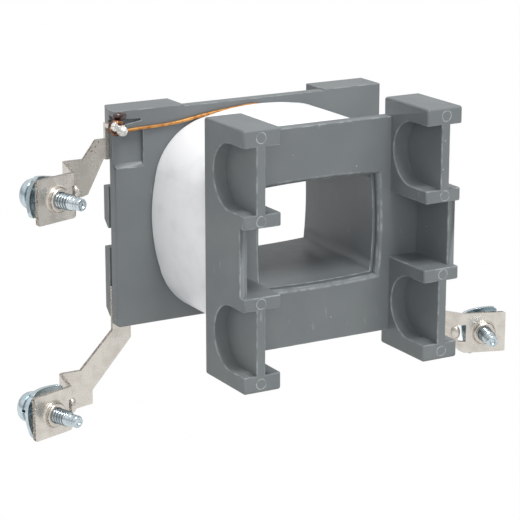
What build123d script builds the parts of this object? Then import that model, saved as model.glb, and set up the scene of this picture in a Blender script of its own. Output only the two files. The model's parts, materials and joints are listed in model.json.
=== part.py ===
from build123d import *
import os
from math import cos, hypot, radians, sin

os.makedirs("parts", exist_ok=True)

# A contactor coil. The coil's axis runs along Y, with the front frame at low Y.
# Y = 0 is the front plane of the frame's bars, Z is up, and X = Z = 0 is the
# axis of the core window. All sizes are millimetres.

# Core window: it widens towards the back, and its four sides bow outward
window_width = 28.8
window_height = 22.6
rear_window_width = 31.6
rear_window_height = 21.8
side_bow = 0.6
top_bow = 0.4
window_rise = 0.4
tube_side_wall = 1.2
tube_top_wall = 1.5
spigot_wall = 1.2
spigot_length = 1.2
slip_fit = 0.05

# Front frame
frame_width = 53.4
frame_height = 56.0
frame_depth = 16.8
column_width = 8.9
edge_round = 0.6
plate_thickness = 2.9
plate_height = 48.4
mouth_width = 30.0
mouth_height = 23.4
lip_round = 0.6
end_bar = 3.8
pocket_height = 14.0
pocket_depth = 13.0
middle_bar = 2.9
web_thickness = 2.2
outer_pocket_depth = 3.0
middle_wall = 1.9
middle_wall_setback = 1.8

# Winding and its insulation
winding_space = 27.2
winding_width = 51.7
winding_height = 47.3
winding_tilt = 2.5
shoulder_width = 24.0
shoulder_height = 20.0
shoulder_drop = 1.25
corner_width = 38.4
corner_height = 38.4
paper_thickness = 0.5
washer_thickness = 0.5
tape_thickness = 1.0
tape_edge = 0.4

# Rear flange with its blocks, guides, notch, recess and groove
flange_width = 68.6
flange_top = 25.0
flange_bottom = 24.0
flange_thickness = 2.6
flange_round = 0.8
flange_lip = 0.4
block_step = 0.3
block_depth = 5.7
block_drop = 8.0
block_slant = 1.7
left_block_width = 17.3
right_block_width = 15.2
guide_width = 6.8
guide_depth = 3.4
upper_guide_top = 7.6
upper_guide_bottom = -1.9
lower_guide_top = -6.3
lower_guide_bottom = -22.3
guide_chamfer = 1.8
strip_width = 4.5
recess_depth = 1.0
recess_width = 7.0
recess_top = 20.4
recess_bottom = 12.2
notch_width = 2.2
notch_top = 23.7
notch_bottom = 20.4
groove_length = 4.3
groove_height = 1.3
groove_end = 0.4
groove_depth = 0.9
groove_level = 22.5

# Terminals, bent from sheet
sheet = 0.9
slot_clearance = 0.1
bend_radius = 0.9
flap_depth = 5.6
flap_drop = 1.2
tab_width = 11.0
tab_height = 10.0
tab_lean = 19.0
tab_corner = 1.2
collar_diameter = 5.6
collar_height = 1.2
collar_edge = 0.4
bend_slot_width = 2.4
bend_slot_height = 4.2
post_width = 1.8
post_reach = 8.2
post_level = 21.7
upper_arm_top = 18.6
upper_arm_bottom = 14.45
arm_run = 3.1
arm_waist = 1.2
arm_curl = 5.3
tail_rise = 1.0
curl_rise = 1.3
flap_tail = 3.0
upper_arm_reach = 10.9
upper_tab_level = 8.4
lower_arm_slope = 8.0
lower_arm_reach = 13.0
lower_strip_top = -15.0
left_tab_level = -39.7
right_arm_reach = 19.9
right_flap_slant = 3.3
right_tab_level = -38.8

# Screws and washers
thread_diameter = 3.5
thread_clearance = 0.08
screw_reach = 8.2
point_diameter = 2.75
point_length = 2.6
point_chamfer = 0.3
head_diameter = 7.0
head_height = 2.7
head_crown = 1.1
drive_width = 0.9
drive_depth = 1.2
drive_length = 4.4
clamp_width = 9.0
clamp_height = 10.8
clamp_corner = 1.2
clamp_thickness = 0.8
clamp_dome = 8.0
clamp_gap = 0.6
clamp_hole = 3.9
lock_diameter = 6.2
lock_hole = 3.8
lock_thickness = 0.9
lock_slit = 0.6
seat_gap = 0.02

# Leads, solder and varnish
wire_diameter = 0.75
lead_bend = 0.8
lead_sink = 0.15
turn_pitch = 0.7
turn_count = 3
lead_exit_x = 1.6
notch_run = 1.0
lead_fall_x = -12.5
lead_fall_z = 22.5
lead_dip_x = -20.5
lead_dip_z = 21.05
lead_rise_x = -28.9
lead_rise_z = 20.85
lead_hole_diameter = 1.6
lead_hole_z = -7.0
wire_run_inset = 9.0
wire_step = 1.3
post_solder_diameter = 2.7
post_solder_length = 2.7
post_solder_edge = 0.6
joint_diameter = 2.4
joint_height = 1.15
joint_inset = 2.4
joint_drop = 1.3
varnish_radius = 1.5
varnish_level = 23.4

# Places that follow from the sizes above
tube_width = max(window_width, rear_window_width) + 2 * tube_side_wall
tube_height = max(window_height, rear_window_height) + 2 * tube_top_wall
spigot_width = window_width + 2 * spigot_wall
spigot_height = window_height + 2 * spigot_wall
spigot_front = frame_depth - spigot_length
paper_width = tube_width + 2 * (paper_thickness + slip_fit)
paper_height = tube_height + 2 * (paper_thickness + slip_fit)
frame_half = frame_width / 2
column_inner = frame_half - column_width
web_outer = frame_half - outer_pocket_depth
web_inner = web_outer - web_thickness
plate_front = frame_depth - plate_thickness
pocket_top = frame_height / 2 - end_bar
pocket_radius = pocket_height / 2
pocket_middle = pocket_top - pocket_radius
middle_half = pocket_top - pocket_height - middle_bar
flange_front = frame_depth + winding_space
flange_back = flange_front + flange_thickness
flange_half = flange_width / 2
block_back = flange_back + block_depth
block_bottom = flange_top - block_drop
guide_back = flange_back + guide_depth
slot_depth = sheet + 2 * slot_clearance
slot_width = strip_width + slot_clearance
arm_middle = flange_back + slot_clearance + sheet / 2
arm_back = flange_back + slot_clearance + sheet
tab_front = arm_middle - flap_depth
wire_radius = wire_diameter / 2
post_x = -flange_half
turn_radius = hypot(post_width, sheet) / 2 + wire_radius + seat_gap
lead_depth = flange_front - wire_radius - slip_fit
lead_top = winding_height / 2 - lead_sink
rebate_drop = wire_radius + slip_fit
turns_front = lead_depth - (turn_count - 1) * turn_pitch - wire_radius
edge = flange_half
inner_edge = edge - strip_width
groove_start = notch_width - flange_half
lead_hole_x = paper_width / 2 + lead_hole_diameter / 2
run_depth = flange_back + wire_radius + slip_fit
joint_depth = arm_back + wire_radius + slip_fit
run_x = edge - wire_run_inset
joint_x = edge - joint_inset
lower_run_z = lower_guide_bottom - wire_diameter - slip_fit
lower_joint_z = lower_run_z - joint_drop
upper_joint_z = (upper_arm_bottom + block_bottom) / 2


def depth_plane(y):
    """The plane square to the coil's axis at depth y; it extrudes towards the front."""
    return Plane.XZ.offset(-y)


def bowed_window(width, height):
    """The outline of the window, or of something round it: a rectangle with bowed sides."""
    corner_x = width / 2 - side_bow
    low = window_rise - height / 2
    high = window_rise + height / 2
    with BuildSketch() as outline:
        with BuildLine():
            ThreePointArc((-corner_x, low + top_bow), (-width / 2, window_rise), (-corner_x, high - top_bow))
            ThreePointArc((-corner_x, high - top_bow), (0, high), (corner_x, high - top_bow))
            ThreePointArc((corner_x, high - top_bow), (width / 2, window_rise), (corner_x, low + top_bow))
            ThreePointArc((corner_x, low + top_bow), (0, low), (-corner_x, low + top_bow))
        make_face()
    return outline.sketch


def winding_oval(inset):
    """The outline of the winding, inset evenly: eight arcs, turned a little as it was wound."""
    side = (winding_width / 2 - shoulder_drop - inset, shoulder_height / 2)
    crown = (shoulder_width / 2, winding_height / 2 - shoulder_drop - inset)
    corner = (corner_width / 2 - inset * cos(radians(45)), corner_height / 2 - inset * sin(radians(45)))
    half_width = winding_width / 2 - inset
    half_height = winding_height / 2 - inset
    with BuildSketch() as outline:
        with BuildLine():
            ThreePointArc((side[0], -side[1]), (half_width, 0), side)
            ThreePointArc(side, corner, crown)
            ThreePointArc(crown, (0, half_height), (-crown[0], crown[1]))
            ThreePointArc((-crown[0], crown[1]), (-corner[0], corner[1]), (-side[0], side[1]))
            ThreePointArc((-side[0], side[1]), (-half_width, 0), (-side[0], -side[1]))
            ThreePointArc((-side[0], -side[1]), (-corner[0], -corner[1]), (-crown[0], -crown[1]))
            ThreePointArc((-crown[0], -crown[1]), (0, -half_height), (crown[0], -crown[1]))
            ThreePointArc((crown[0], -crown[1]), (corner[0], -corner[1]), (side[0], -side[1]))
        make_face()
    return outline.sketch.rotate(Axis.Z, winding_tilt)


def finish(part, label):
    """Names a finished piece and writes its file."""
    part.label = label
    export_step(part, f"parts/{label}.step")


# Front frame: two columns with four bars each, joined by the plate round the window
with BuildPart() as front_frame:
    with BuildSketch(depth_plane(frame_depth)):
        with Locations((frame_half - column_width / 2, 0), (column_width / 2 - frame_half, 0)):
            Rectangle(column_width, frame_height)
    extrude(amount=frame_depth)
    fillet(front_frame.edges().filter_by(Axis.Z).group_by(Axis.Y)[0], edge_round)
    fillet(front_frame.faces().group_by(Axis.Z)[-1].edges(), edge_round)
    fillet(front_frame.faces().group_by(Axis.Z)[0].edges(), edge_round)
    with BuildSketch(depth_plane(frame_depth)):
        Rectangle(frame_width - 2 * middle_wall, plate_height)
    extrude(amount=plate_thickness)
    # The middle bay is open towards the core, with a thin outer wall set back from the front
    with BuildSketch(depth_plane(plate_front)):
        Rectangle(frame_width - 2 * middle_wall, 2 * middle_half)
    extrude(amount=plate_front, mode=Mode.SUBTRACT)
    with BuildSketch(depth_plane(middle_wall_setback)):
        Rectangle(frame_width, 2 * middle_half)
    extrude(amount=middle_wall_setback, mode=Mode.SUBTRACT)
    # D-shaped pockets on both faces of each column leave a web between the bars
    for side in (-1, 1):
        for face, depth in ((web_outer, outer_pocket_depth), (web_inner, column_inner - web_inner)):
            with BuildSketch(Plane.YZ.offset(side * face)):
                for level in (-pocket_middle, pocket_middle):
                    with Locations(((pocket_depth - pocket_radius) / 2, level)):
                        Rectangle(pocket_depth - pocket_radius, pocket_height)
                    with Locations((pocket_depth - pocket_radius, level)):
                        Circle(pocket_radius)
            extrude(amount=side * depth, mode=Mode.SUBTRACT)
    with BuildSketch(depth_plane(frame_depth)):
        add(bowed_window(mouth_width, mouth_height))
    extrude(amount=plate_thickness, mode=Mode.SUBTRACT)
    with BuildSketch(depth_plane(plate_front + lip_round)):
        add(bowed_window(mouth_width, mouth_height))
    with BuildSketch(depth_plane(plate_front)):
        add(bowed_window(mouth_width + 2 * lip_round, mouth_height + 2 * lip_round))
    loft(mode=Mode.SUBTRACT)
    # The tube's spigot sits in a rebate at the back of the plate
    with BuildSketch(depth_plane(frame_depth)):
        add(bowed_window(spigot_width + 2 * slip_fit, spigot_height + 2 * slip_fit))
    extrude(amount=spigot_length, mode=Mode.SUBTRACT)
finish(front_frame.part, "front_frame")

# Bobbin: the core tube, the rear flange, its two top blocks and the four strip guides
with BuildPart() as bobbin:
    with BuildSketch(depth_plane(flange_back)):
        with Locations((0, (flange_top - block_step - flange_bottom) / 2)):
            RectangleRounded(flange_width, flange_top - block_step + flange_bottom, flange_round)
    extrude(amount=flange_thickness)
    for side, width in ((-1, left_block_width), (1, right_block_width)):
        with BuildSketch(depth_plane(block_back)):
            with Locations((side * (flange_half - width / 2), flange_top - block_drop / 2)):
                Rectangle(width, block_drop)
        extrude(amount=block_back - flange_front)
    # The end of the left block leans in towards its back
    with BuildSketch(Plane.XY.offset(block_bottom)):
        with BuildLine():
            Polyline((-flange_half, flange_back), (block_slant - flange_half, block_back),
                     (-flange_half, block_back), close=True)
        make_face()
    extrude(amount=block_drop, mode=Mode.SUBTRACT)
    for side in (-1, 1):
        with BuildSketch(Plane.YZ.offset(side * (flange_half - guide_width))):
            for top, bottom in ((upper_guide_top, upper_guide_bottom), (lower_guide_top, lower_guide_bottom)):
                with BuildLine():
                    Polyline((flange_back, top), (guide_back, top), (guide_back, bottom + guide_chamfer),
                             (guide_back - guide_chamfer, bottom), (flange_back, bottom), close=True)
                make_face()
        extrude(amount=side * guide_width)
        # Slots between the flange and the guides take the terminal strips
        with BuildSketch(depth_plane(flange_back + slot_depth)):
            with Locations((side * (flange_half - slot_width / 2), (block_bottom - flange_bottom) / 2)):
                Rectangle(slot_width, block_bottom + flange_bottom)
        extrude(amount=slot_depth, mode=Mode.SUBTRACT)
    with BuildSketch(depth_plane(flange_back + slot_depth)):
        with Locations((slot_width / 2 - flange_half, block_bottom)):
            Rectangle(slot_width, 2 * (post_level + sheet - block_bottom))
    extrude(amount=slot_depth, mode=Mode.SUBTRACT)
    # The post stands in a notch of the left edge, beside a shallow recess and a short groove
    with BuildSketch(depth_plane(flange_back)):
        with Locations((notch_width / 2 - flange_half, (notch_top + notch_bottom) / 2)):
            Rectangle(notch_width, notch_top - notch_bottom)
    extrude(amount=flange_thickness, mode=Mode.SUBTRACT)
    with BuildSketch(Plane.YZ.offset(-flange_half)):
        with BuildLine():
            Polyline((flange_front, recess_top), (flange_front + recess_depth, recess_top),
                     (flange_front + recess_depth, recess_bottom + recess_depth),
                     (flange_front, recess_bottom), close=True)
        make_face()
    extrude(amount=recess_width, mode=Mode.SUBTRACT)
    with BuildSketch(depth_plane(flange_front + groove_depth)):
        with BuildLine():
            Polyline((groove_start, groove_level + groove_height / 2),
                     (groove_start + groove_length, groove_level + groove_end),
                     (groove_start + groove_length, groove_level),
                     (groove_start, groove_level - groove_height / 2), close=True)
        make_face()
    extrude(amount=groove_depth, mode=Mode.SUBTRACT)
    front_edges = bobbin.edges().filter_by_position(Axis.Y, flange_front, flange_front)
    fillet(front_edges.group_by(Axis.Z)[0] + front_edges.group_by(Axis.X)[-1], flange_lip)
    with BuildSketch(depth_plane(flange_back)):
        add(bowed_window(tube_width, tube_height))
    extrude(amount=flange_back - frame_depth - slip_fit)
    with BuildSketch(depth_plane(frame_depth + slip_fit)):
        add(bowed_window(spigot_width, spigot_height))
    extrude(amount=spigot_length)
    with BuildSketch(depth_plane(flange_back)):
        add(bowed_window(rear_window_width, rear_window_height))
    with BuildSketch(depth_plane(spigot_front)):
        add(bowed_window(window_width, window_height))
    loft(mode=Mode.SUBTRACT)
    with BuildSketch(depth_plane(flange_back)):
        with Locations((lead_hole_x, lead_hole_z)):
            Circle(lead_hole_diameter / 2)
    extrude(amount=flange_thickness, mode=Mode.SUBTRACT)
finish(bobbin.part, "bobbin")

# Paper wrap on the tube
with BuildPart() as core_insulation:
    with BuildSketch(depth_plane(flange_front - slip_fit)):
        add(bowed_window(paper_width, paper_height))
        add(bowed_window(tube_width + 2 * slip_fit, tube_height + 2 * slip_fit), mode=Mode.SUBTRACT)
    extrude(amount=winding_space - 2 * slip_fit)
finish(core_insulation.part, "core_insulation")


def wire_end(side, run_z, joint_z):
    """The points where a wire steps from the back of the flange onto the back of a strip."""
    return [(side * run_x, run_depth, run_z), (side * (run_x + wire_step), run_depth, run_z),
            (side * (inner_edge - wire_diameter), joint_depth, (run_z + joint_z) / 2),
            (side * joint_x, joint_depth, joint_z)]


def wire_along(points):
    """A round wire along straight runs joined by bends."""
    with BuildPart() as wire:
        with BuildLine() as path:
            FilletPolyline(*points, radius=lead_bend)
        with BuildSketch(Plane(origin=path.line @ 0, z_dir=path.line % 0)):
            Circle(wire_radius)
        sweep(path=path.line)
    return wire.part


# The finish lead leaves the last turn, runs along the flange and takes its turns round the post
lead_run = wire_along([(lead_exit_x + notch_run, lead_depth, lead_top - 2 * notch_run),
                       (lead_exit_x, lead_depth, lead_top),
                       (lead_fall_x, lead_depth, lead_fall_z), (lead_dip_x, lead_depth, lead_dip_z),
                       (lead_rise_x, lead_depth, lead_rise_z), (post_x, lead_depth, post_level - turn_radius)])
with BuildPart() as finish_lead:
    add(lead_run)
    for turn in range(turn_count):
        with Locations(Location((post_x, lead_depth - turn * turn_pitch, post_level), (90, 0, 0))):
            Torus(turn_radius, wire_radius)
finish(finish_lead.part, "finish_lead")

# The start lead comes out by the tube and runs to the lower right strip, below its guide
with BuildPart() as start_lead:
    add(wire_along([(lead_hole_x, lead_depth - lead_bend, lead_hole_z), (lead_hole_x, run_depth, lead_hole_z)]
                   + wire_end(1, lower_run_z, lower_joint_z)))
finish(start_lead.part, "start_lead")

# The link wire joins the two left terminals and passes inside the guides
with BuildPart() as link_wire:
    upper_end = wire_end(-1, upper_joint_z, upper_joint_z)
    upper_end.reverse()
    add(wire_along(upper_end + wire_end(-1, lower_run_z, lower_joint_z)))
finish(link_wire.part, "link_wire")


# The block of wire turns, with a washer at each end
with BuildPart() as winding:
    with BuildSketch(depth_plane(flange_front - washer_thickness - 2 * slip_fit)):
        add(winding_oval(tape_thickness + slip_fit))
        add(bowed_window(paper_width + 2 * slip_fit, paper_height + 2 * slip_fit), mode=Mode.SUBTRACT)
    extrude(amount=winding_space - 2 * washer_thickness - 4 * slip_fit)
    add(lead_run, mode=Mode.SUBTRACT)
    add(start_lead.part, mode=Mode.SUBTRACT)
finish(winding.part, "winding")

washer_backs = (frame_depth + slip_fit + washer_thickness, flange_front - slip_fit)
for label, back in zip(("front_end_washer", "rear_end_washer"), washer_backs):
    with BuildPart() as end_washer:
        with BuildSketch(depth_plane(back)):
            add(winding_oval(tape_thickness + slip_fit))
            add(bowed_window(paper_width + 2 * slip_fit, paper_height + 2 * slip_fit), mode=Mode.SUBTRACT)
            with Locations((lead_hole_x, lead_hole_z)):
                Circle(lead_hole_diameter / 2, mode=Mode.SUBTRACT)
        extrude(amount=washer_thickness)
        add(lead_run, mode=Mode.SUBTRACT)
    finish(end_washer.part, label)

# The outer tape, with a rebate along the lead and a notch where it comes through
with BuildPart() as tape:
    with BuildSketch(depth_plane(flange_front - slip_fit)):
        add(winding_oval(0))
    extrude(amount=winding_space - 2 * slip_fit)
    chamfer(tape.edges().group_by(Axis.Y)[0] + tape.edges().group_by(Axis.Y)[-1], tape_edge)
    with BuildSketch(depth_plane(flange_front)):
        add(winding_oval(tape_thickness))
    extrude(amount=winding_space, mode=Mode.SUBTRACT)
    with Locations((lead_exit_x + notch_run, flange_front, winding_height / 2)):
        Box(2 * notch_run + wire_diameter, 2 * notch_run, 4 * notch_run, mode=Mode.SUBTRACT)
    with BuildSketch(depth_plane(flange_front)):
        with BuildLine():
            Polyline((lead_dip_x, lead_top - rebate_drop), (lead_fall_x, lead_fall_z - rebate_drop),
                     (lead_exit_x, lead_top - rebate_drop), (lead_exit_x, flange_top),
                     (lead_dip_x, flange_top), close=True)
        make_face()
    extrude(amount=wire_diameter + 2 * slip_fit, mode=Mode.SUBTRACT)
finish(tape.part, "tape")


def bent_terminal(plan, arm, tab_level, arm_top):
    """Bends a strip along the plan's points and cuts it to the outlines of its arm and its tab."""
    low = tab_level - tab_height
    high = flange_top
    side = -1 if plan[-1][0] < 0 else 1
    tab_top = tab_level + tab_height / 2
    tab_middle = ((plan[-1][0] + plan[-2][0]) / 2, tab_level)
    with BuildPart() as strip:
        with BuildSketch(Plane.XY.offset(low)):
            with BuildLine():
                FilletPolyline(*plan, radius=bend_radius)
            trace(line_width=sheet)
        extrude(amount=high - low)
        with BuildSketch(depth_plane(block_back)):
            with BuildLine():
                Polyline(*arm, close=True)
            make_face()
            with Locations(tab_middle):
                RectangleRounded(abs(plan[-1][0] - plan[-2][0]) + sheet, tab_height, tab_corner)
        extrude(amount=block_back, mode=Mode.INTERSECT)
        # The flap's top edge slopes from the arm down to the tab, and a slot eases the bend
        with BuildSketch(Plane.YZ.offset(plan[1][0] - side * sheet)):
            with BuildLine():
                Polyline((0, tab_top), (tab_front + sheet, tab_top), (arm_middle - sheet, arm_top),
                         (arm_middle - sheet, high), (0, high), close=True)
            make_face()
        extrude(amount=side * (upper_arm_reach + tab_width), mode=Mode.SUBTRACT)
        with Locations((plan[2][0] + side * sheet / 2, plan[2][1] + sheet / 2, tab_level)):
            Box(bend_slot_width, bend_slot_width, bend_slot_height, mode=Mode.SUBTRACT)
    return strip.part


def terminal_plan(side, reach, slant):
    """The strip's centre line seen from above: arm, flap and leaning tab."""
    flap_x = flange_half + reach
    tab_run = tab_width * cos(radians(tab_lean))
    tab_rise = tab_width * sin(radians(tab_lean))
    return [(side * (flange_half - strip_width), arm_middle), (side * flap_x, arm_middle),
            (side * (flap_x + slant), tab_front), (side * (flap_x + slant + tab_run), tab_front - tab_rise)]


def tab_plane(plan, tab_level):
    """The plane in the middle of the tab; its normal points out of the tab's front."""
    (inner_x, inner_y), (outer_x, outer_y) = plan[-2:]
    side = -1 if outer_x < 0 else 1
    lean = radians(tab_lean)
    middle = ((inner_x + outer_x) / 2, (inner_y + outer_y) / 2, tab_level)
    return Plane(origin=middle, x_dir=(side * cos(lean), -sin(lean), 0), z_dir=(-side * sin(lean), -cos(lean), 0))


# The outlines of the three arms, seen from the front
def arm_end(side, flap, top, level):
    """The corners of an arm's outline where it meets its flap."""
    return [(side * (flap + sheet / 2), top), (side * (flap + sheet / 2), level - flap_tail)]


upper_tab_top = upper_tab_level + tab_height / 2 + flap_drop
left_tab_top = left_tab_level + tab_height / 2 + flap_drop
right_tab_top = right_tab_level + tab_height / 2
waist_z = -flange_bottom - arm_waist
upper_arm = ([(-inner_edge, upper_arm_top), (-edge - arm_run, upper_arm_top),
              (-edge - 2 * arm_run, upper_tab_top)]
             + arm_end(-1, edge + upper_arm_reach, upper_tab_top, upper_tab_level)
             + [(-edge - 2 * arm_run, upper_tab_level - flap_tail + tail_rise),
                (-edge - arm_curl, upper_tab_level - flap_tail + curl_rise),
                (-edge - arm_waist, upper_arm_bottom), (-inner_edge, upper_arm_bottom)])
left_arm = ([(-inner_edge, lower_strip_top), (-edge, lower_strip_top), (-edge, waist_z),
             (-edge - lower_arm_slope, left_tab_top)]
            + arm_end(-1, edge + lower_arm_reach, left_tab_top, left_tab_level)
            + [(-edge - arm_curl, left_tab_level - flap_tail + tail_rise), (-edge - arm_curl, left_tab_level + arm_waist),
               (-inner_edge, waist_z - strip_width / 2)])
right_arm = ([(inner_edge, lower_strip_top), (edge, lower_strip_top), (edge, waist_z),
              (edge + lower_arm_slope, right_tab_top)]
             + arm_end(1, edge + right_arm_reach + right_flap_slant, right_tab_top, right_tab_level)
             + [(edge + lower_arm_slope, right_tab_level - arm_waist), (inner_edge, waist_z - strip_width / 2)])
terminals = {"upper_left": (-1, upper_arm_reach, 0, upper_arm, upper_tab_level, upper_tab_top),
             "lower_left": (-1, lower_arm_reach, 0, left_arm, left_tab_level, left_tab_top),
             "lower_right": (1, right_arm_reach, right_flap_slant, right_arm, right_tab_level, right_tab_top)}

# Heights along a screw's axis, measured from the middle of the tab towards the screw's tip
clamp_corner_reach = hypot(clamp_width / 2 - clamp_corner, clamp_height / 2 - clamp_corner) + clamp_corner
clamp_sag = clamp_dome - (clamp_dome ** 2 - clamp_corner_reach ** 2) ** 0.5
clamp_face = -sheet / 2 - clamp_gap
clamp_back = clamp_face - clamp_sag - clamp_thickness
lock_front = clamp_back - seat_gap
head_seat = lock_front - lock_thickness - seat_gap
shank_end = screw_reach - point_length

for place, (side, reach, slant, arm, level, arm_top) in terminals.items():
    plan = terminal_plan(side, reach, slant)
    tab = tab_plane(plan, level)
    tab_axis = Axis(tab.origin, tab.z_dir)

    # The threaded collar is drawn out of the tab; only the upper left strip has a post
    with BuildPart() as collar:
        with BuildSketch(tab):
            Circle(collar_diameter / 2)
        extrude(amount=sheet / 2 + collar_height)
        chamfer(collar.faces().sort_by(tab_axis)[-1].edges(), collar_edge)
    with BuildPart() as terminal:
        add(bent_terminal(plan, arm, level, arm_top))
        add(collar.part)
        with BuildSketch(tab.offset(-sheet)):
            Circle(thread_diameter / 2 + thread_clearance)
        extrude(amount=2 * sheet + collar_height, mode=Mode.SUBTRACT)
        if place == "upper_left":
            with BuildSketch(depth_plane(arm_back)):
                with Locations((post_x, (post_level + upper_arm_bottom) / 2)):
                    Rectangle(post_width, post_level - upper_arm_bottom + sheet)
            extrude(amount=sheet)
            with BuildSketch(depth_plane(arm_back)):
                with Locations((post_x, post_level)):
                    Rectangle(post_width, sheet)
            extrude(amount=post_reach)
    finish(terminal.part, f"{place}_terminal")

    # Screw with a pan head, a cross drive and a plain point
    with BuildPart() as screw:
        with BuildSketch(tab.offset(head_seat)):
            Circle(thread_diameter / 2)
        extrude(amount=shank_end - head_seat)
        chamfer(screw.faces().sort_by(tab_axis)[-1].edges(), point_chamfer)
        with BuildSketch(tab.offset(shank_end)):
            Circle(point_diameter / 2)
        extrude(amount=point_length)
        chamfer(screw.faces().sort_by(tab_axis)[-1].edges(), point_chamfer)
        with BuildSketch(tab.offset(head_seat)):
            Circle(head_diameter / 2)
        extrude(amount=-head_height)
        fillet(screw.faces().sort_by(tab_axis)[0].edges(), head_crown)
        with BuildSketch(tab.offset(head_seat - head_height)):
            Rectangle(drive_length, drive_width)
            Rectangle(drive_width, drive_length)
        extrude(amount=drive_depth, mode=Mode.SUBTRACT)
    finish(screw.part, f"{place}_screw")

    # The square clamp washer is cupped, with its hollow towards the tab
    with BuildPart() as clamp:
        with BuildSketch(tab.offset(clamp_back)):
            RectangleRounded(clamp_width, clamp_height, clamp_corner)
        extrude(amount=clamp_face - clamp_back)
        with Locations(tab.offset(clamp_face - clamp_sag + clamp_dome).location):
            Sphere(clamp_dome + clamp_thickness, mode=Mode.INTERSECT)
            Sphere(clamp_dome, mode=Mode.SUBTRACT)
        with BuildSketch(tab.offset(clamp_back)):
            Circle(clamp_hole / 2)
        extrude(amount=clamp_face - clamp_back, mode=Mode.SUBTRACT)
    finish(clamp.part, f"{place}_clamp_washer")

    with BuildPart() as lock:
        with BuildSketch(tab.offset(lock_front)):
            Circle(lock_diameter / 2)
            Circle(lock_hole / 2, mode=Mode.SUBTRACT)
            with Locations((lock_diameter / 2, 0)):
                Rectangle(lock_diameter, lock_slit, mode=Mode.SUBTRACT)
        extrude(amount=-lock_thickness)
    finish(lock.part, f"{place}_lock_washer")

    # Solder where the wires meet the strips
    if place == "upper_left":
        with BuildPart() as post_solder:
            with BuildSketch(depth_plane(turns_front - slip_fit)):
                with Locations((post_x, post_level)):
                    Circle(post_solder_diameter / 2)
            extrude(amount=post_solder_length)
            chamfer(post_solder.faces().sort_by(Axis.Y)[0].edges(), post_solder_edge)
            chamfer(post_solder.faces().sort_by(Axis.Y)[-1].edges(), post_solder_edge)
            add(terminal.part, mode=Mode.SUBTRACT)
        finish(post_solder.part, "post_solder")
    with BuildPart() as joint:
        joint_z = upper_joint_z if place == "upper_left" else lower_joint_z
        with BuildSketch(depth_plane(arm_back + joint_height)):
            with Locations((side * (joint_x - wire_radius), joint_z)):
                Circle(joint_diameter / 2)
        extrude(amount=joint_height)
        chamfer(joint.faces().sort_by(Axis.Y)[-1].edges(), joint_height / 2)
        add((start_lead if side > 0 else link_wire).part, mode=Mode.SUBTRACT)
    finish(joint.part, f"{place}_solder")

# A drop of varnish at the corner of the flange
with BuildPart() as varnish_drop:
    with Locations((post_x + 2 * varnish_radius, flange_front, varnish_level)):
        Sphere(varnish_radius)
    split(bisect_by=depth_plane(flange_front - seat_gap), keep=Keep.TOP)
finish(varnish_drop.part, "varnish_drop")
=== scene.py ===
# %% [markdown]
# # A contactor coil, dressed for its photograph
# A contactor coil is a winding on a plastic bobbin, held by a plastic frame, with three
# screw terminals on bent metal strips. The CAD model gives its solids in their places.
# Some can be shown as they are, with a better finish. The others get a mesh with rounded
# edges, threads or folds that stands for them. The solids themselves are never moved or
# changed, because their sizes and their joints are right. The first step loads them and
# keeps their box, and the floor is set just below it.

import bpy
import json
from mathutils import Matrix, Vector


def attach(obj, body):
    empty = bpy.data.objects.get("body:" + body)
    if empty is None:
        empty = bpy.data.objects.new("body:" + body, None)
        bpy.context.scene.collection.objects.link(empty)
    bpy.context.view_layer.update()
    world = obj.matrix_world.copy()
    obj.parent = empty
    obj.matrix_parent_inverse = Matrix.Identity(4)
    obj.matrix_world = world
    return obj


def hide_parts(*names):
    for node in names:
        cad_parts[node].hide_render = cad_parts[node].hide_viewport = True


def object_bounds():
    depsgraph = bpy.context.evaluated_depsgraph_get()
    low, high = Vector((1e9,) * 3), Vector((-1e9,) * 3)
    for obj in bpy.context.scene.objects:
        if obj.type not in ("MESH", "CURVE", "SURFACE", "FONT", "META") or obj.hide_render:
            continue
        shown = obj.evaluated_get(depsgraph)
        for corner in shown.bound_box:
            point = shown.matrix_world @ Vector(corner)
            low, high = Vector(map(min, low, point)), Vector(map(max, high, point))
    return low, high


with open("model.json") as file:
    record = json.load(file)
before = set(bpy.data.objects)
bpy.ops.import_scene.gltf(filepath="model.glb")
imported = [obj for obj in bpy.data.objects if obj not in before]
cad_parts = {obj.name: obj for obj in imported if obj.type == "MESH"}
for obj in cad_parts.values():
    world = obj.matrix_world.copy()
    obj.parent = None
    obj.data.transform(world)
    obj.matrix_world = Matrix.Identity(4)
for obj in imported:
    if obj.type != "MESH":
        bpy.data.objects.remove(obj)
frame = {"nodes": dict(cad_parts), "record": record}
cad_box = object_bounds()

# %% [markdown]
# ## Units and helpers
# The drawing is in millimetres and the scene is in metres. Sizes are written here as on
# the drawing and turned into metres in one place, which keeps them readable. Two more
# steps are needed again and again: showing a mesh, a lamp or a camera as an object, and
# taking the finished mesh off an object that was only there to carry modifiers.

# %% Units and helpers
import json
from math import atan2, cos, hypot, pi, radians, sin

import bmesh
import bpy
import numpy as np
from mathutils import Matrix, Vector, noise
from mathutils.bvhtree import BVHTree

mm = 0.001


def in_metres(values):
    """A place or a size in millimetres, as a vector in metres."""
    return Vector(values) * mm


def linked(name, data):
    """A new object in the scene that shows this mesh, curve, lamp or camera."""
    thing = bpy.data.objects.new(name, data)
    bpy.context.scene.collection.objects.link(thing)
    return thing


def taken_off(helper):
    """The mesh of an object with its modifiers worked in. The object is then removed."""
    evaluated = helper.evaluated_get(bpy.context.evaluated_depsgraph_get())
    mesh = bpy.data.meshes.new_from_object(evaluated)
    bpy.data.objects.remove(helper)
    return mesh


def mesh_of(name, shape, *finishes):
    """Turns a bmesh into a mesh with these finishes, and frees the bmesh."""
    mesh = bpy.data.meshes.new(name)
    shape.to_mesh(mesh)
    shape.free()
    for finish in finishes:
        mesh.materials.append(finish)
    return mesh


print("one millimetre is", mm, "in the scene")

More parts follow.
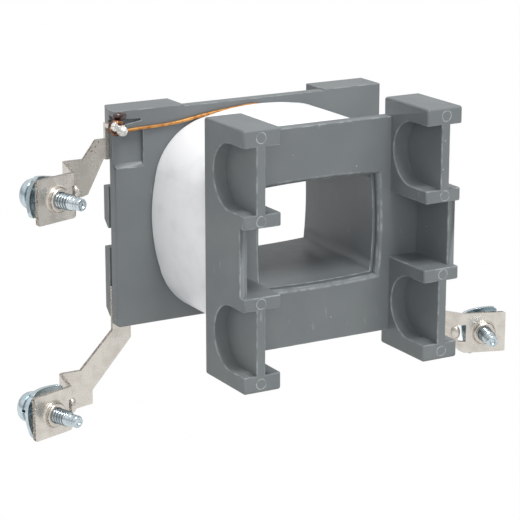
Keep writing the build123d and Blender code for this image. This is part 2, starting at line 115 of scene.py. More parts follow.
# %% [markdown]
# ## Camera
# The photograph was taken from the front left and a little above, with a long lens.
# A camera can be aimed by eye, but here its place was worked out from the straight
# edges of the frame, so the matrix is built from two angles and a position. The lens
# follows from the width of the picture in pixels.

# %% Camera
image_width = 520
focal_pixels = 2059.3
camera_turn = radians(29.64)
camera_tilt = radians(15.44)
camera_place = in_metres((-223.55, -352.62, 112.80))
ahead = Vector((sin(camera_turn) * cos(camera_tilt), cos(camera_turn) * cos(camera_tilt), -sin(camera_tilt)))
right = Vector((cos(camera_turn), -sin(camera_turn), 0))
camera_axes = Matrix((right, right.cross(ahead), -ahead)).transposed()
camera = linked("camera", bpy.data.cameras.new("camera"))
camera.data.sensor_width = 36
camera.data.lens = camera.data.sensor_width * focal_pixels / image_width
camera.data.clip_start = 0.01
camera.matrix_world = Matrix.Translation(camera_place) @ camera_axes.to_4x4()
bpy.context.scene.camera = camera
print(f"lens {camera.data.lens:.1f} mm")

# %% [markdown]
# ## Sums in a node tree
# A finish or a repeated shape is a tree of small nodes. Writing each node and link by
# hand hides the idea, so one class wraps a socket and lets Python's own operators add
# the Math nodes, and one method makes every other node. The same two classes serve the
# shader trees and the geometry tree.

# %% A socket that can be reckoned with
class Field:
    """One output of a node. A sum written with it adds Math nodes to its tree."""

    def __init__(self, graph, socket):
        self.graph = graph
        self.socket = socket

    def __add__(self, other):
        return self.graph.math("ADD", self, other)

    def __sub__(self, other):
        return self.graph.math("SUBTRACT", self, other)

    def __rsub__(self, other):
        return self.graph.math("SUBTRACT", other, self)

    def __mul__(self, other):
        return self.graph.math("MULTIPLY", self, other)

    def __truediv__(self, other):
        return self.graph.math("DIVIDE", self, other)

    def __gt__(self, other):
        return self.graph.math("GREATER_THAN", self, other)

    def __lt__(self, other):
        return self.graph.math("LESS_THAN", self, other)

    def __abs__(self):
        return self.graph.math("ABSOLUTE", self)

    __radd__ = __add__
    __rmul__ = __mul__

    def smooth(self, low, high):
        """Rises softly from 0 at low to 1 at high."""
        return self.graph.add("ShaderNodeMapRange", {"interpolation_type": "SMOOTHSTEP"},
                              {"Value": self, "From Min": low, "From Max": high})


print("reflected forms:", [name for name in vars(Field) if name.startswith("__r")])


# %% The one method that adds a node
class Graph:
    """A node tree, and the one method that adds a node to it."""

    def __init__(self, tree):
        self.tree = tree

    def feed(self, socket, value):
        """Links a field to a socket, or sets a plain value on it."""
        if isinstance(value, Field):
            self.tree.links.new(value.socket, socket)
        else:
            socket.default_value = value

    def add(self, kind, settings=None, inputs=None, output=0):
        """A node of this kind: first its settings, then its sockets. Gives back one output."""
        node = self.tree.nodes.new(kind)
        for name, value in (settings or {}).items():
            setattr(node, name, value)
        for name, value in (inputs or {}).items():
            self.feed(node.inputs[name], value)
        return Field(self, node.outputs[output]) if len(node.outputs) else None

    def math(self, operation, *terms):
        """A Math node on these terms, for the operators and for what has no operator."""
        return self.add("ShaderNodeMath", {"operation": operation}, dict(enumerate(terms)))

    def split(self, vector):
        """The X, Y and Z of a vector."""
        node = self.add("ShaderNodeSeparateXYZ", inputs={0: vector}).socket.node
        return [Field(self, output) for output in node.outputs]


print("shader and geometry trees are both made by Graph.add")


# %% [markdown]
# ## Finishes
# Every finish starts from the same few parts: the place on the object in metres, noise
# at a chosen grain, a mix of two colours, and a bump. A finish then only says what its
# material does: how it varies in colour, how rough it is and what its grain looks like.
# The pattern follows the object's own coordinates, so it stays put when a screw moves.

# %% What every finish shares
def paint(code):
    """A colour written as in a paint chart, such as #6D7273, made linear for the shader."""
    levels = [int(code[i:i + 2], 16) / 255 for i in (1, 3, 5)]
    linear = [v / 12.92 if v <= 0.04045 else ((v + 0.055) / 1.055) ** 2.4 for v in levels]
    return (*linear, 1)


class Finish(Graph):
    """A material with a Principled shader, built from the object's own coordinates."""

    def __init__(self, name, **constants):
        self.material = bpy.data.materials.new(name)
        self.material.use_nodes = True
        super().__init__(self.material.node_tree)
        self.shader = self.tree.nodes["Principled BSDF"]
        self.place = self.add("ShaderNodeTexCoord", output="Object")
        self.set(**constants)

    def set(self, **values):
        """Feeds the shader's sockets by name, with _ for a space."""
        for name, value in values.items():
            self.feed(self.shader.inputs[name.replace("_", " ")], value)

    def colour(self):
        """The colour that reaches the shader so far, to be worked over."""
        return Field(self, self.shader.inputs["Base Color"].links[0].from_socket)

    def marked(self, attribute):
        """A number that the mesh itself carries."""
        return self.add("ShaderNodeAttribute", {"attribute_name": attribute}, output="Fac")

    def axes(self):
        """The three coordinates in millimetres."""
        return [axis * (1 / mm) for axis in self.split(self.place)]

    def stretched(self, x, y, z):
        """The place with each axis scaled, which draws a pattern out along an axis."""
        return self.add("ShaderNodeVectorMath", {"operation": "MULTIPLY"}, {0: self.place, 1: (x, y, z)})

    def noise(self, grain_mm, detail=2.0, place=None):
        """Noise whose spots are about grain_mm across."""
        inputs = {"Vector": place or self.place, "Scale": 1 / (grain_mm * mm), "Detail": detail}
        return self.add("ShaderNodeTexNoise", inputs=inputs)

    def cells(self, size_mm, output):
        """Cells about size_mm across: a Color for each, or the Distance from its middle."""
        inputs = {"Vector": self.place, "Scale": 1 / (size_mm * mm)}
        return self.add("ShaderNodeTexVoronoi", inputs=inputs, output=output)

    def mix(self, factor, first, second):
        """A colour that goes from the first to the second as the factor goes from 0 to 1."""
        colours = {0: factor, 6: first, 7: second}
        return self.add("ShaderNodeMix", {"data_type": "RGBA"}, colours, output=2)

    def bump(self, height, depth_mm, below=None):
        """A Normal from a height between 0 and 1 that stands for depth_mm."""
        inputs = {"Height": height, "Distance": depth_mm * mm}
        if below:
            inputs["Normal"] = below
        return self.add("ShaderNodeBump", inputs=inputs)


print("mid grey paint is", round(paint("#808080")[0], 3), "in linear light")

# %% [markdown]
# ### Grey moulding
# The frame and the bobbin are moulded from a grey filled plastic. Its skin is satin with
# a very fine grain, a faint clouding where the melt flowed, a few pale specks of filler
# and small scuffs. The rounded edges get a paler finish of their own: a painted highlight,
# for the thin line of light that each edge catches. The noise is kept weak: plastic that
# varies too much looks like stone.

# %% Grey moulding
speck_cell, speck_radius, speck_share = 3.2, 0.045, 0.72


def grey_moulding(name, marks=None, low="#676C6F", high="#6D7273", cloud_mm=14):
    """Moulded plastic. marks adds the rings that the ejector pins leave."""
    skin = Finish(name)
    base = skin.mix(skin.noise(cloud_mm, 3).smooth(0.35, 0.7), paint(low), paint(high))
    chosen = skin.add("ShaderNodeSeparateColor", inputs={0: skin.cells(speck_cell, "Color")})
    speck = (skin.cells(speck_cell, "Distance") < speck_radius) * (chosen > speck_share)
    scratches = skin.noise(1.1, 6, skin.stretched(1, 1, 0.25)).smooth(0.64, 0.78)
    scuff = scratches * skin.noise(9, 1).smooth(0.46, 0.6)
    pale = speck * 0.8 + scuff * 0.3
    normal = skin.bump(skin.noise(0.16, 2), 0.006)
    if marks:
        ring = marks(skin)
        pale = pale + ring * 0.55
        normal = skin.bump(ring, 0.03, normal)
    roughness = 0.38 + skin.noise(2.5, 3) * 0.12
    skin.set(Base_Color=skin.mix(pale, base, paint("#B9BDBC")), Normal=normal, Roughness=roughness)
    return skin.material


print("about", round(100 * (1 - speck_share)), "in 100 cells hold a speck")

# %% Rings of the ejector pins
pin_x, pin_rows, pin_radius = 22.6, (26.1, 8.75), 1.1
bar_front = 0.5


def pin_marks(skin):
    """Thin rings on the fronts of the bars, as worn pins leave them: some only in part."""
    x, y, z = skin.axes()
    rings = 0
    for row in pin_rows:
        across = abs(x) - pin_x
        up = abs(z) - row
        radius = skin.math("SQRT", across * across + up * up)
        radius = radius + skin.noise(1.1, 2) * 0.5 - 0.25
        rings = rings + (1 - abs(radius - pin_radius).smooth(0.05, 0.15))
    return rings * (y < bar_front) * (0.3 + 0.7 * skin.noise(1.6, 1).smooth(0.4, 0.56))


frame_grey = grey_moulding("grey_moulding_with_pin_marks", pin_marks)
bobbin_grey = grey_moulding("grey_moulding")
# Painted highlight: a paler grey for the faces of the rounded edges.
edge_highlight_grey = grey_moulding("rubbed_grey_edges", None, "#6A6F71", "#888E8F", 2.2)
print(4 * len(pin_rows), "rings on the front of the frame")

# %% [markdown]
# ### Metals and enamel
# The strips are nickel plated, which is a warm grey, and the screws are zinc plated and
# passivated, which is a cold blue grey. Both could be plain metal of one colour, but
# plating is never even: it has dull patches, fine rub marks, and brown edges where the
# sheet was cut. Enamelled copper is orange under a clear film, which turns brown where
# it was heated by the soldering.

# %% Plated metals
def plated(name, colour, shade, roughness, grain=0.35, rub_mm=0.008):
    """Bright plating on steel: a clean colour, dull patches and fine rub marks."""
    metal = Finish(name, Metallic=1.0)
    dull = metal.noise(2.4, 4).smooth(0.35, 0.75)
    rubbed = metal.noise(grain, 3, metal.stretched(1, 1, 0.2))
    metal.set(Base_Color=metal.mix(dull, paint(colour), paint(shade)),
              Roughness=roughness + dull * 0.1 + rubbed * 0.08,
              Normal=metal.bump(rubbed, rub_mm))
    return metal


def threaded(metal):
    """Paints shade along the ridge of a thread on a plated metal, which sets its turns apart."""
    ridge = metal.marked("ridge").smooth(0.35, 0.95)
    # Painted shade: a dark blue grey mixed in along the ridge of the thread.
    metal.set(Base_Color=metal.mix(ridge * 0.85, metal.colour(), paint("#3C4A50")))
    return metal.material


zinc = plated("zinc_plate", "#CDD9DE", "#A9BAC2", 0.16).material
zinc_thread = threaded(plated("zinc_plated_thread", "#D6E0E4", "#B4C3CA", 0.14))
solder_bright = plated("solder", "#E9E8E4", "#C9C8C4", 0.12).material
print("two zinc finishes and a solder")

# %% Nickel plate
rust_x, rust_z = -36.5, 17.2


def nickel_with_pits():
    """Nickel plate with brown dotted cut edges, and a few small rust pits by the flange."""
    metal = plated("nickel_plate", "#D6D1C9", "#CCC6BD", 0.2, 0.6, 0.002)
    x, _, z = metal.axes()
    by_flange = (1 - abs(x - rust_x).smooth(2.0, 5.0)) * (1 - abs(z - rust_z).smooth(1.0, 2.2))
    pits = metal.noise(0.5, 2).smooth(0.64, 0.68) * by_flange
    dots = 0.35 + 0.65 * metal.noise(0.35, 3).smooth(0.4, 0.62)
    worn = metal.mix(dots * metal.marked("sheared") * 0.9, metal.colour(), paint("#54463A"))
    metal.set(Base_Color=metal.mix(pits, worn, paint("#3E2A20")), Metallic=0.8 - pits * 0.6)
    return metal.material


nickel = nickel_with_pits()
print("rust pits round", (rust_x, rust_z), "mm")

# %% Enamelled copper
heated_from, heated_to = -31.2, -32.8


def enamelled(name):
    """Copper under orange enamel, browned towards the soldered post."""
    wire = Finish(name, Metallic=0.75, Roughness=0.28, Coat_Weight=0.5, Coat_Roughness=0.08)
    heated = 1 - wire.axes()[0].smooth(heated_to, heated_from)
    browned = (0.55 + 0.45 * wire.noise(1.0, 2).smooth(0.35, 0.6)) * heated
    base = wire.mix(wire.noise(1.6, 3).smooth(0.35, 0.7), paint("#CE9650"), paint("#A4632C"))
    wire.set(Base_Color=wire.mix(browned, base, paint("#4A180C")))
    return wire.material


enamel = enamelled("enamelled_copper")
print("the enamel browns within", round(heated_from - heated_to, 1), "mm")

# %% [markdown]
# ### Varnish, paper and tape
# The varnish is a drop of brown resin, smooth and very glossy. The insulation inside is
# brown paper with fibres along one axis. The tape is a white film: nearly even, satin,
# a little handled, with a few dark dots. These are plain materials, so one or two weak
# patterns for each say enough.

# %% Varnish, paper and tape
def varnished():
    """Dark brown insulating varnish, set glossy."""
    drop = Finish("varnish", Roughness=0.07, Coat_Weight=1.0)
    drop.set(Base_Color=drop.mix(drop.noise(0.9, 2), paint("#1C0A05"), paint("#3A150B")))
    return drop.material


def insulating_paper():
    """Brown paper, matt, with its fibres drawn out along Y."""
    sheet = Finish("paper", Roughness=0.8)
    fibre = sheet.noise(0.5, 4, sheet.stretched(1, 0.2, 1))
    sheet.set(Base_Color=sheet.mix(fibre, paint("#CDB98C"), paint("#B79F70")), Normal=sheet.bump(fibre, 0.02))
    return sheet.material


def film_tape():
    """White film tape: satin, with handled patches and a few dark dots."""
    film = Finish("white_tape", Roughness=0.38, Coat_Weight=0.15, Coat_Roughness=0.3)
    handled = film.noise(5, 3).smooth(0.45, 0.8)
    base = film.mix(handled, paint("#F1F2F4"), paint("#E6E8EB"))
    dot = (film.cells(6, "Distance") < 0.02) * 0.5
    grain = film.bump(film.noise(0.25, 2), 0.006)
    film.set(Base_Color=film.mix(dot, base, paint("#8C8A88")), Normal=grain)
    return film.material


varnish, paper, tape_white = varnished(), insulating_paper(), film_tape()
print("finishes:", [material.name for material in bpy.data.materials if material.use_nodes])


# %% [markdown]
# ## Rounded moulding edges
# A real moulding has no knife edges: each catches a thin line of light. The CAD meshes
# are sharp, loose triangles, and they aren't edited. A copy is welded, its flat faces are
# joined again, and the copy stands for the node. Rounding every edge would lighten the
# inner corners too, which stay dark on a moulding, so an edge gets a bevel weight only
# where it points outwards. The bevel's own faces take a paler finish, a painted highlight
# of that line of light, and weighted normals keep the flat faces flat.

# %% Pieces and modifiers
def as_piece(name, mesh, body, stands_for):
    """Links a finished mesh, and tells the frame what it rides on and stands for."""
    piece = linked(name, mesh)
    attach(piece, body)
    if stands_for:
        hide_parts(*stands_for)
    return piece


def baked(mesh, *modifiers):
    """The mesh with modifiers worked in, given as pairs of a kind and its settings."""
    helper = linked("helper", mesh)
    for kind, settings in modifiers:
        modifier = helper.modifiers.new(kind, kind)
        for name, value in settings.items():
            setattr(modifier, name, value)
    return taken_off(helper)


print("a piece is linked, rides on a body and stands for its nodes")

# %% Edges to be rounded
sheet_thickness = 0.9
weld = 0.002
sharp_from = radians(30)


def turns_sharply(edge):
    """Whether two faces meet here at a real angle, and not along a facet of a curve."""
    return edge.is_manifold and edge.calc_face_angle() > sharp_from


def crosses_sheet(edge):
    """Whether the edge is as long as the sheet is thick, as at a corner of its outline."""
    return abs(edge.calc_length() - sheet_thickness * mm) < 0.1 * sheet_thickness * mm


def welded(node):
    """A CAD node's loose triangles as one closed shape with whole flat faces."""
    shape = bmesh.new()
    shape.from_mesh(frame["nodes"][node].data)
    bmesh.ops.remove_doubles(shape, verts=shape.verts, dist=weld * mm)
    bmesh.ops.dissolve_limit(shape, angle_limit=radians(1), verts=shape.verts, edges=shape.edges)
    return shape


sample = welded("front_frame")
sharp_edges = sum(turns_sharply(edge) for edge in sample.edges)
print("front frame:", len(sample.faces), "faces and", sharp_edges, "sharp edges")
sample.free()


# %% Softened copies of solids
def softened(node, finishes, edge_mm=0, corner_mm=0):
    """A copy of a CAD node with its outward edges rounded by edge_mm, and the corners of a
    sheet's outline by corner_mm. Rounded edges take the last finish, all else the first."""
    shape = welded(node)
    if corner_mm:
        corners = [e for e in shape.edges if turns_sharply(e) and e.is_convex and crosses_sheet(e)]
        bmesh.ops.bevel(shape, geom=corners, offset=corner_mm * mm, segments=4, profile=0.5,
                        affect="EDGES", clamp_overlap=True)
    weight = shape.edges.layers.float.new("bevel_weight_edge")
    for edge in shape.edges:
        sharp = turns_sharply(edge)
        edge[weight] = float(sharp and edge.is_convex)
        edge.smooth = not sharp or (edge_mm > 0 and edge.is_convex)
    for face in shape.faces:
        face.smooth = True
    mesh = mesh_of(f"{node}_soft", shape, *finishes)
    if "custom_normal" in mesh.attributes:
        mesh.attributes.remove(mesh.attributes["custom_normal"])
    normals = ("WEIGHTED_NORMAL", {"keep_sharp": True, "weight": 80})
    if not edge_mm:
        return baked(mesh, normals)
    bevel = {"width": edge_mm * mm, "segments": 2, "limit_method": "WEIGHT", "use_clamp_overlap": False,
             "miter_outer": "MITER_ARC", "material": len(finishes) - 1}
    return baked(mesh, ("BEVEL", bevel), normals)


# The last finish goes on the rounded edges: the paler grey of the painted highlight.
mouldings = (("front_frame", "front_moulding", frame_grey, 0.28),
             ("bobbin", "bobbin_moulding", bobbin_grey, 0.15))
for node, name, grey, edge_mm in mouldings:
    moulding = as_piece(name, softened(node, [grey, edge_highlight_grey], edge_mm), "coil", [node])
    rounded = sum(face.material_index == 1 for face in moulding.data.polygons)
    print(name, len(moulding.data.polygons), "faces, of which", rounded, "on rounded edges")


# %% [markdown]
# ### Bent strips
# The strips are punched from plated sheet and bent, so their flat faces are bright and
# their cut edges are brown and crisp. Only the corners of the outline are rounded, as
# the punch leaves them. The cut edges could be picked by hand, but the strip's own
# thickness tells them apart: a ray sent into the metal from a flat face comes out after
# one thickness, and from a cut edge much later. The finish reads the answer.

# %% Strips with their cut edges marked
strip_corner = 0.7
just_inside, far_enough, thicker = 0.02, 20, 1.15
places = ("upper_left", "lower_left", "lower_right")


def mark_sheared(mesh):
    """Writes 1 on the cut edges of a sheet part, and 0 on its flat faces."""
    tree = BVHTree.FromPolygons([v.co for v in mesh.vertices], [p.vertices for p in mesh.polygons])
    sheared = mesh.attributes.new("sheared", "FLOAT", "CORNER")
    for face in mesh.polygons:
        start = face.center - face.normal * just_inside * mm
        through = tree.ray_cast(start, -face.normal, far_enough * mm)[3]
        cut = through is not None and through > thicker * sheet_thickness * mm
        for corner in face.loop_indices:
            sheared.data[corner].value = float(cut)


for place in places:
    mesh = softened(f"{place}_terminal", [nickel], corner_mm=strip_corner)
    mark_sheared(mesh)
    as_piece(f"{place}_strip", mesh, "coil", [f"{place}_terminal"])
    print(place, "strip:", len(mesh.polygons), "faces")

# %% [markdown]
# ### Solids that stay as they are
# The winding, its paper, the two wires behind the flange and the solder there are hidden
# or small, and their CAD shape is right. They keep it, and only their finish changes.

# %% Solids that stay as they are
stays = {"winding": enamel, "start_lead": enamel, "link_wire": enamel, "core_insulation": paper,
         "front_end_washer": paper, "rear_end_washer": paper}
for place in places:
    stays[f"{place}_solder"] = solder_bright
for node, finish in stays.items():
    for slot in frame["nodes"][node].material_slots:
        slot.material = finish
print(len(stays), "solids keep their own shape")


# %% [markdown]
# ## Screws
# Each screw is an M3.5 with a pan head, a cross recess and a long plain point. A thread
# could be a picture on a cylinder, but its ridges show against the white background. It
# is what repeats, so it is a geometry tree: a finely divided rod whose radius follows a
# wave that climbs one pitch in each turn. The tree also marks where the ridge is, so
# that the finish can tell it from the groove and paint shade along it.

# %% Trees with named sizes
def geometry_tree(name, sizes):
    """An empty geometry tree with an input for each size and for the finish."""
    tree = bpy.data.node_groups.new(name, "GeometryNodeTree")
    for size in sizes:
        tree.interface.new_socket(size, in_out="INPUT", socket_type="NodeSocketFloat")
    tree.interface.new_socket("Finish", in_out="INPUT", socket_type="NodeSocketMaterial")
    tree.interface.new_socket("Geometry", in_out="OUTPUT", socket_type="NodeSocketGeometry")
    graph = Graph(tree)
    start = tree.nodes.new("NodeGroupInput")
    return graph, {socket.name: Field(graph, socket) for socket in start.outputs if socket.name}


def end_tree(graph, geometry, finish):
    """Realizes the instances, gives the finish, and closes the tree."""
    real = graph.add("GeometryNodeRealizeInstances", inputs={"Geometry": geometry})
    done = graph.add("GeometryNodeSetMaterial", inputs={"Geometry": real, "Material": finish})
    graph.add("NodeGroupOutput", inputs={"Geometry": done})
    return graph.tree


def grown(tree, **values):
    """The mesh that a geometry tree makes from these named values."""
    helper = linked("helper", bpy.data.meshes.new("helper"))
    modifier = helper.modifiers.new("tree", "NODES")
    modifier.node_group = tree
    for item in tree.interface.items_tree:
        if item.in_out == "INPUT":
            modifier[item.identifier] = values[item.name.lower()]
    return taken_off(helper)


print("a tree's inputs are set by their identifiers")

# %% Thread tree
thread_sides, rows_per_turn = 44, 9


def thread_tree():
    """A rod whose radius follows a wave that climbs one pitch in each turn."""
    sizes = ("Radius", "Depth", "Pitch", "Length")
    graph, given = geometry_tree("thread", sizes)
    radius, depth, pitch, length = (given[size] for size in sizes)
    rod_sizes = {"Vertices": thread_sides, "Side Segments": length / pitch * rows_per_turn,
                 "Radius": radius, "Depth": length}
    rod = graph.add("GeometryNodeMeshCylinder", inputs=rod_sizes)
    x, y, z = graph.split(graph.add("GeometryNodeInputPosition"))
    phase = graph.math("FRACT", z / pitch - graph.math("ARCTAN2", y, x) / (2 * pi))
    groove = abs(phase * 2 - 1).smooth(0.12, 0.9)
    runout = ((length / 2 - abs(z)) / pitch).smooth(0.0, 0.8)
    ridge = (1 - groove) * runout
    share = 1 - depth / radius * (1 - ridge)
    moved = graph.add("ShaderNodeCombineXYZ", inputs={0: x * share, 1: y * share, 2: z})
    cut = graph.add("GeometryNodeSetPosition", inputs={"Geometry": rod, "Position": moved})
    marked = graph.add("GeometryNodeStoreNamedAttribute", {"data_type": "FLOAT", "domain": "POINT"},
                       {"Geometry": cut, "Name": "ridge", "Value": ridge})
    smooth = graph.add("GeometryNodeSetShadeSmooth", inputs={"Geometry": marked})
    return end_tree(graph, smooth, given["Finish"])


cut_thread = thread_tree()
print("thread tree:", len(cut_thread.nodes), "nodes")


# %% [markdown]
# ### Turned shapes
# The head, the point and the collar are round, so each is a profile turned about an
# axis, as on a lathe. Blender's Screw modifier could turn it too, but its seam and its
# poles then have to be merged. Here a profile is a list of radius and height, and each
# point of it makes a ring of corners. Where the radius is 0, the ring is one corner.

# %% Turned shapes
def ring_of(shape, radius, height, steps):
    """A ring of corners about Z, or one corner on the axis, in millimetres."""
    if radius == 0:
        return [shape.verts.new(in_metres((0, 0, height)))]
    angles = [2 * pi * i / steps for i in range(steps)]
    return [shape.verts.new(in_metres((radius * cos(a), radius * sin(a), height))) for a in angles]


def bridged(shape, rings):
    """Faces from each ring to the next, pointing outwards."""
    steps = max(len(ring) for ring in rings)
    for low, high in zip(rings, rings[1:]):
        for i in range(steps):
            j = (i + 1) % steps
            corners = [low[i % len(low)], low[j % len(low)], high[j % len(high)], high[i % len(high)]]
            shape.faces.new(list(dict.fromkeys(corners)))
    bmesh.ops.recalc_face_normals(shape, faces=shape.faces)


def turned(name, profile, finish, steps=48):
    """A closed mesh turned about Z. A profile that ends where it began makes a ring."""
    shape = bmesh.new()
    rings = []
    for radius, height in profile:
        closing = rings and (radius, height) == profile[0]
        rings.append(rings[0] if closing else ring_of(shape, radius, height, steps))
    bridged(shape, rings)
    mesh = mesh_of(name, shape, finish)
    mesh.shade_smooth()
    mesh.set_sharp_from_angle(angle=radians(40))
    return mesh


def joined(name, meshes):
    """One mesh from several; each keeps its own finish."""
    shape = bmesh.new()
    finishes = []
    for mesh in meshes:
        first = len(shape.faces)
        shape.from_mesh(mesh)
        shape.faces.ensure_lookup_table()
        for face in shape.faces[first:]:
            face.material_index += len(finishes)
        finishes.extend(mesh.materials)
    return mesh_of(name, shape, *finishes)


print("a turned ring has 48 corners unless it is told otherwise")

# %% [markdown]
# ### Where the screws stand
# Each tab leans back, so each screw gets a frame of its own: the middle of the tab as its
# origin and the screw's tip as its Z. The joint that turns the screw already holds both.
# A mesh is built upright at the origin and then moved by that frame, so that the object
# itself stays at the origin. The heights of the stack are read from the solids.

# %% Tab frames
joints = {joint["name"]: joint for joint in frame["record"]["behaviour"]["joints"]}


def tab_frame(place):
    """The matrix that carries a screw from the origin onto its tab, tip towards the front."""
    joint = joints[f"{place}_turn"]
    tip = -Vector(joint["axis"]).normalized()
    up = Vector((0, 0, 1))
    return Matrix.Translation(joint["pos_m"]) @ Matrix((up.cross(tip), up, tip)).transposed().to_4x4()


def span(place, kind):
    """How far a node reaches along its screw, in millimetres from the tab's middle."""
    home = tab_frame(place).inverted()
    vertices = frame["nodes"][f"{place}_{kind}"].data.vertices
    heights = [(home @ vertex.co).z / mm for vertex in vertices]
    return min(heights), max(heights)


head_top, tip_end = span("upper_left", "screw")
lock_back = span("upper_left", "lock_washer")[0]
print("screw from", round(head_top, 2), "to", round(tip_end, 2), "mm, lock washer from", round(lock_back, 2))

# %% [markdown]
# ### Heads, points and threads
# A pan head is flat below, upright at its rim and rounded on top. Its cross recess is
# two slots that get narrower as they go down, as the driver does. Drawing the recess
# into the profile can't work, because it isn't round, so a wedge is cut away twice with
# a Boolean, a quarter turn apart. Heights grow from the head towards the tip.

# %% Heads
head_radius, head_seat = 3.5, lock_back - 0.02
slot_mouth, slot_floor, slot_depth = (2.3, 0.5), (1.5, 0.36), 1.2
over_crown = 0.2


def slot_wedge(quarter_turns):
    """One slot of the cross recess, as a body to cut away: narrower at its floor."""
    levels = ((head_top - over_crown, *slot_mouth), (head_top + slot_depth, *slot_floor))
    signs = ((-1, -1), (1, -1), (1, 1), (-1, 1))
    corners = [in_metres((a * length, b * width, level)) for level, length, width in levels for a, b in signs]
    sides = [(i, (i + 1) % 4, (i + 1) % 4 + 4, i + 4) for i in range(4)]
    mesh = bpy.data.meshes.new("slot")
    mesh.from_pydata(corners, [], [(3, 2, 1, 0), (4, 5, 6, 7)] + sides)
    mesh.transform(Matrix.Rotation(quarter_turns * pi / 2, 4, "Z"))
    return linked("slot", mesh)


def pan_head():
    """A pan head with a rounded crown and a cross recess."""
    crown = [(0, 0.01), (1.6, 0.04), (2.3, 0.18), (2.9, 0.5), (3.28, 1.0), (3.47, 1.6)]
    profile = [(radius, head_top + height) for radius, height in crown]
    profile += [(head_radius, head_seat - 0.25), (head_radius - 0.1, head_seat), (0, head_seat)]
    head = turned("head", profile, zinc, 56)
    for quarter_turns in range(2):
        wedge = slot_wedge(quarter_turns)
        head = baked(head, ("BOOLEAN", {"operation": "DIFFERENCE", "solver": "EXACT", "object": wedge}),
                     ("WEIGHTED_NORMAL", {"keep_sharp": True}))
        bpy.data.objects.remove(wedge)
    return head


print("head", round(head_seat - head_top, 2), "mm high")

# %% Whole screws
thread_radius, thread_depth, thread_pitch = 1.75, 0.44, 0.8
point_radius, point_length = 1.37, 2.6
shank_end = tip_end - point_length


def plain_point():
    """The end of the screw: two shallow grooves, a rounded rim and a dished face."""
    r, start, end = point_radius, shank_end, tip_end
    profile = [(0, start - 0.3), (r, start - 0.3), (r, start + 0.5), (r - 0.16, start + 0.7),
               (r, start + 0.95), (r, start + 1.25), (r - 0.12, start + 1.5), (r, start + 1.7),
               (r, end - 0.26), (r - 0.1, end - 0.08), (r - 0.28, end), (0.72, end - 0.04),
               (0.5, end - 0.3), (0, end - 0.36)]
    return turned("point", profile, zinc, 40)


def screw_mesh(place):
    """The thread, the point and the head as one mesh, in place on its tab."""
    rod = grown(cut_thread, radius=thread_radius * mm, depth=thread_depth * mm, pitch=thread_pitch * mm,
                length=(shank_end - head_seat) * mm, finish=zinc_thread)
    rod.transform(Matrix.Translation(in_metres((0, 0, (shank_end + head_seat) / 2))))
    screw = joined(f"{place}_screw_mesh", [rod, plain_point(), pan_head()])
    screw.transform(tab_frame(place))
    return screw


for place in places:
    mesh = screw_mesh(place)
    as_piece(f"{place}_threaded_screw", mesh, f"{place}_screw", [f"{place}_screw"])
    print(place, "screw:", len(mesh.polygons), "faces")

# %% [markdown]
# ### Washers
# Under each head lie a lock washer and a cupped square washer that clamps the wire. The
# CAD shapes are right, so they only get rounded edges. Nothing stops a square washer
# from turning, and in the photograph they don't lie alike, so each has its own turn.

# %% Washers
washer_turns = {"upper_left": 79, "lower_left": 0, "lower_right": 8}
washer_edge = 0.12


def turned_on_screw(place, mesh, degrees):
    """Turns a washer about its screw."""
    home = tab_frame(place)
    mesh.transform(home @ Matrix.Rotation(radians(degrees), 4, "Z") @ home.inverted())
    return mesh


for place in places:
    for kind in ("clamp_washer", "lock_washer"):
        node = f"{place}_{kind}"
        mesh = turned_on_screw(place, softened(node, [zinc], washer_edge), washer_turns[place])
        as_piece(f"{node}_plated", mesh, f"{place}_washers", [node])
print(2 * len(places), "washers")

# %% [markdown]
# ### Threaded collars
# The screw runs in a threaded collar that is pressed out of the tab. The tool leaves it
# with small steps, which a plain tube wouldn't show, so its profile has a few of them.
# The profile ends where it began, which makes a ring round the screw.

# %% Threaded collars
collar_profile = [(1.9, 0.3), (3.3, 0.3), (3.2, 0.5), (3.0, 0.56), (2.9, 0.72), (2.82, 0.7), (2.74, 0.78),
                  (2.7, 1.0), (2.6, 0.98), (2.52, 1.06), (2.46, 1.28), (2.36, 1.26), (2.28, 1.34),
                  (2.22, 1.56), (2.08, 1.62), (1.9, 1.6), (1.84, 1.4), (1.84, 0.5), (1.9, 0.3)]
for place in places:
    mesh = turned(f"{place}_collar_mesh", collar_profile, nickel)
    mesh.transform(tab_frame(place))
    as_piece(f"{place}_collar", mesh, "coil", [])
print(len(places), "collars")

# %% [markdown]
# ## Tape
# The winding is wrapped in white film tape. Pulled tight over round wire it stays nearly
# smooth, with soft folds across its width and a rim that curls in a little. Its outline
# is eight arcs, as in the drawing, turned a little as it was wound. Cloth simulation
# could make the folds, but tape under tension hardly moves, so they are small moves of
# the surface by noise. They only ever go inwards, which keeps the tape in its box.

# %% Tape outline
winding_width, winding_height = 51.7, 47.3
shoulder_width, shoulder_height, shoulder_drop = 24.0, 20.0, 1.25
corner_width, corner_height = 38.4, 38.4
winding_tilt = radians(2.5)


def arc_points(first, middle, last, count):
    """Points on the circle through three points, without the last one."""
    (ax, ay), (bx, by), (cx, cy) = first, middle, last
    d = 2 * (ax * (by - cy) + bx * (cy - ay) + cx * (ay - by))
    a2, b2, c2 = ax * ax + ay * ay, bx * bx + by * by, cx * cx + cy * cy
    ox = (a2 * (by - cy) + b2 * (cy - ay) + c2 * (ay - by)) / d
    oy = (a2 * (cx - bx) + b2 * (ax - cx) + c2 * (bx - ax)) / d
    start = atan2(ay - oy, ax - ox)
    sweep = (atan2(cy - oy, cx - ox) - start + pi) % (2 * pi) - pi
    radius = hypot(ax - ox, ay - oy)
    angles = [start + sweep * i / count for i in range(count)]
    return [(ox + radius * cos(a), oy + radius * sin(a)) for a in angles]


